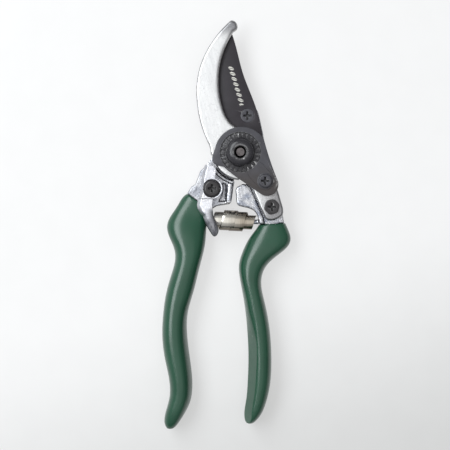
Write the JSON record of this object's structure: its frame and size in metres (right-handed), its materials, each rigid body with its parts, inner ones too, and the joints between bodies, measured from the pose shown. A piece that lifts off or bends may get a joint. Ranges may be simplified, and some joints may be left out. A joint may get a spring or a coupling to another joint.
{
  "type": "pruning shears",
  "caption": "Bypass pruning shears, closed: cutting blade and hooked counter blade on a bolt, cast handles with dipped grips, thumb catch and volute spring.",
  "frame": {"origin": "on the pivot axis, at the back face of the pivot bolt's head, which is also the plane the closed shears lie on", "axes": "+Y along the shears from the handles to the blade tips, +Z out of the front face, where the nut is, +X to the right seen from the front"},
  "size_m": [0.068, 0.2151, 0.0221],
  "materials": {
    "cast_aluminium": "polished casting, rough on the flank",
    "green_coating": "glossy dipped vinyl",
    "hook_steel": "satin, polished towards the edge",
    "dark_blade": "satin dark coating",
    "dark_plate": "satin dark coating, edges worn bright",
    "dark_nut": "satin dark coating",
    "bolt_steel": "satin",
    "bush_bronze": "satin",
    "dark_screws": "satin dark coating",
    "catch_metal": "polished casting",
    "spring_nickel": "bright nickel"
  },
  "bodies": {
    "blade_handle": {"blade_handle_casting": "cast_aluminium", "blade_handle_grip": "green_coating", "cutting_blade": "dark_blade", "blade_screw": "dark_screws", "pivot_bush": "bush_bronze", "catch_screw": "dark_screws", "catch_washer": "bolt_steel", "volute_spring": "spring_nickel"},
    "hook_handle": {"hook_handle_casting": "cast_aluminium", "hook_handle_grip": "green_coating", "hook_blade": "hook_steel", "hook_screw": "dark_screws", "pivot_plate": "dark_plate", "locking_segment": "dark_plate", "segment_screw": "dark_screws", "pivot_nut": "dark_nut", "pivot_bolt": "bolt_steel", "back_washer": "bolt_steel"},
    "catch": {"thumb_catch": "catch_metal"}
  },
  "joints": [
    {"name": "pivot", "type": "hinge", "parent": "blade_handle", "child": "hook_handle", "pos_m": [0, 0, 0], "axis": [0, 0, 1], "range_deg": [0, 28], "deforming": ["volute_spring"]},
    {"name": "catch_pivot", "type": "hinge", "parent": "blade_handle", "child": "catch", "pos_m": [-0.0148, -0.0189, 0.013], "axis": [0, 0, 1], "range_deg": [0, 40]}
  ],
  "couplings": [
    {"joint": "catch_pivot", "follows": "pivot", "ratio": 1.4}
  ]
}
